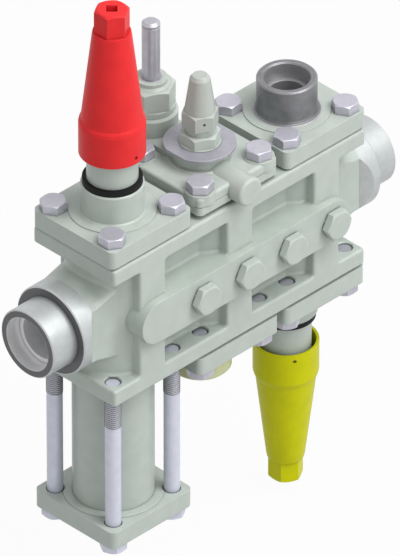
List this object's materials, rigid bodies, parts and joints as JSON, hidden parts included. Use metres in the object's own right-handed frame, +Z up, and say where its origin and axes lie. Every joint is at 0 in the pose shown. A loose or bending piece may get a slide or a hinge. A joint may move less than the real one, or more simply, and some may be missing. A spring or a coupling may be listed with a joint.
{
  "type": "refrigeration valve station",
  "caption": "Valve station with flanged modules on a cast body: capped stop valves, strainer, pilot-operated solenoid, check valve and weld-neck branch, all working inside.",
  "frame": {"origin": "centre of the mouth of the inlet socket", "axes": "+X from the inlet to the outlet along the flow axis, +Y to the side without plugs, +Z up towards the red cap"},
  "size_m": [0.351, 0.1253, 0.501],
  "materials": {
    "casting": "satin pale grey-green paint over cast steel",
    "plate": "bright machined steel",
    "dark_steel": "dark machined steel",
    "zinc": "zinc-plated steel",
    "yellow_zinc": "yellow passivated zinc",
    "red": "satin red paint over aluminium",
    "yellow": "satin yellow paint over aluminium",
    "steel": "ground steel",
    "black_rubber": "matte black",
    "gasket": "matte dark fibre",
    "ptfe": "white",
    "mesh": "woven stainless wire",
    "brass": "machined",
    "grey_cap": "satin grey paint over aluminium",
    "seal_washer": "soft aluminium"
  },
  "bodies": {
    "station": {"station_body": "casting", "inlet_socket": "plate", "outlet_socket": "plate", "side_port_plugs": "casting", "side_port_seals": "seal_washer", "filter_tube": "casting", "filter_gaskets": "gasket", "filter_end_flange": "casting", "filter_bolts": "zinc", "filter_basket": "mesh", "servo_gaskets": "gasket", "servo_sleeve": "steel", "servo_plate": "casting", "servo_cover": "casting", "servo_bolts": "zinc", "servo_spring": "steel", "stem_disc": "zinc", "stem_nut": "casting", "pilot_nut": "casting", "armature_tube": "zinc", "armature_spring": "steel", "check_cover": "casting", "check_gasket": "gasket", "check_bolts": "zinc", "check_guide_cap": "yellow_zinc", "check_spring": "steel", "branch_flange": "casting", "branch_weld_neck": "dark_steel", "branch_gasket": "gasket", "branch_bolts": "zinc", "inlet_stop_cover": "casting", "inlet_stop_gasket": "gasket", "inlet_stop_bolts": "zinc", "inlet_stop_packing": "ptfe", "inlet_stop_gland": "brass", "inlet_stop_dust_seal": "black_rubber", "inlet_stop_cap_seal": "ptfe", "outlet_stop_cover": "casting", "outlet_stop_gasket": "gasket", "outlet_stop_bolts": "zinc", "outlet_stop_packing": "ptfe", "outlet_stop_gland": "brass", "outlet_stop_dust_seal": "black_rubber", "outlet_stop_cap_seal": "ptfe"},
    "inlet_cap": {"inlet_stop_cap": "red"},
    "inlet_cone": {"inlet_stop_cone": "steel", "inlet_stop_cone_ring": "ptfe", "inlet_stop_cone_nut": "steel"},
    "inlet_spindle": {"inlet_stop_spindle": "steel"},
    "outlet_cap": {"outlet_stop_cap": "yellow"},
    "outlet_cone": {"outlet_stop_cone": "steel", "outlet_stop_cone_ring": "ptfe", "outlet_stop_cone_nut": "steel"},
    "outlet_spindle": {"outlet_stop_spindle": "steel"},
    "stem_cap": {"manual_stem_cap": "grey_cap"},
    "lift_collar": {"manual_lift_collar": "steel"},
    "manual_stem": {"manual_stem": "steel"},
    "servo_piston": {"servo_piston": "steel"},
    "armature": {"armature": "steel"},
    "check_cone": {"check_cone": "steel"}
  },
  "joints": [
    {"name": "inlet_cap_off", "type": "slide", "parent": "station", "child": "inlet_cap", "axis": [0, 0, 1], "range_m": [0, 0.09]},
    {"name": "inlet_cone_lift", "type": "slide", "parent": "station", "child": "inlet_cone", "axis": [0, 0, 1], "range_m": [-0.014, 0]},
    {"name": "inlet_spindle_turn", "type": "hinge", "parent": "inlet_cone", "child": "inlet_spindle", "pos_m": [0.0865, 0, 0.1], "axis": [0, 0, 1], "range_deg": [-1680, 0]},
    {"name": "outlet_cap_off", "type": "slide", "parent": "station", "child": "outlet_cap", "axis": [0, 0, -1], "range_m": [0, 0.09]},
    {"name": "outlet_cone_lift", "type": "slide", "parent": "station", "child": "outlet_cone", "axis": [0, 0, -1], "range_m": [-0.014, 0]},
    {"name": "outlet_spindle_turn", "type": "hinge", "parent": "outlet_cone", "child": "outlet_spindle", "pos_m": [0.2645, 0, -0.1], "axis": [0, 0, -1], "range_deg": [-1680, 0]},
    {"name": "stem_cap_off", "type": "slide", "parent": "station", "child": "stem_cap", "axis": [0, 0, 1], "range_m": [0, 0.045]},
    {"name": "lift_collar_rise", "type": "slide", "parent": "station", "child": "lift_collar", "axis": [0, 0, 1], "range_m": [0, 0.006]},
    {"name": "manual_stem_turn", "type": "hinge", "parent": "lift_collar", "child": "manual_stem", "pos_m": [0.1755, 0, 0.1], "axis": [0, 0, 1], "range_deg": [0, 1440]},
    {"name": "servo_piston_lift", "type": "slide", "parent": "station", "child": "servo_piston", "axis": [0, 0, 1], "range_m": [0, 0.008], "stiffness_N_per_m": 500, "springref_m": -0.012, "deforming": ["servo_spring"]},
    {"name": "armature_lift", "type": "slide", "parent": "station", "child": "armature", "axis": [0, 0, 1], "range_m": [0, 0.004], "stiffness_N_per_m": 200, "springref_m": -0.006, "deforming": ["armature_spring"]},
    {"name": "check_cone_drop", "type": "slide", "parent": "station", "child": "check_cone", "axis": [0, 0, -1], "range_m": [0, 0.008], "stiffness_N_per_m": 300, "springref_m": -0.012, "deforming": ["check_spring"]}
  ],
  "couplings": [
    {"joint": "inlet_spindle_turn", "follows": "inlet_cone_lift", "rad_per_m": 2094.4},
    {"joint": "outlet_spindle_turn", "follows": "outlet_cone_lift", "rad_per_m": 2094.4},
    {"joint": "manual_stem_turn", "follows": "lift_collar_rise", "rad_per_m": 4188.8}
  ]
}
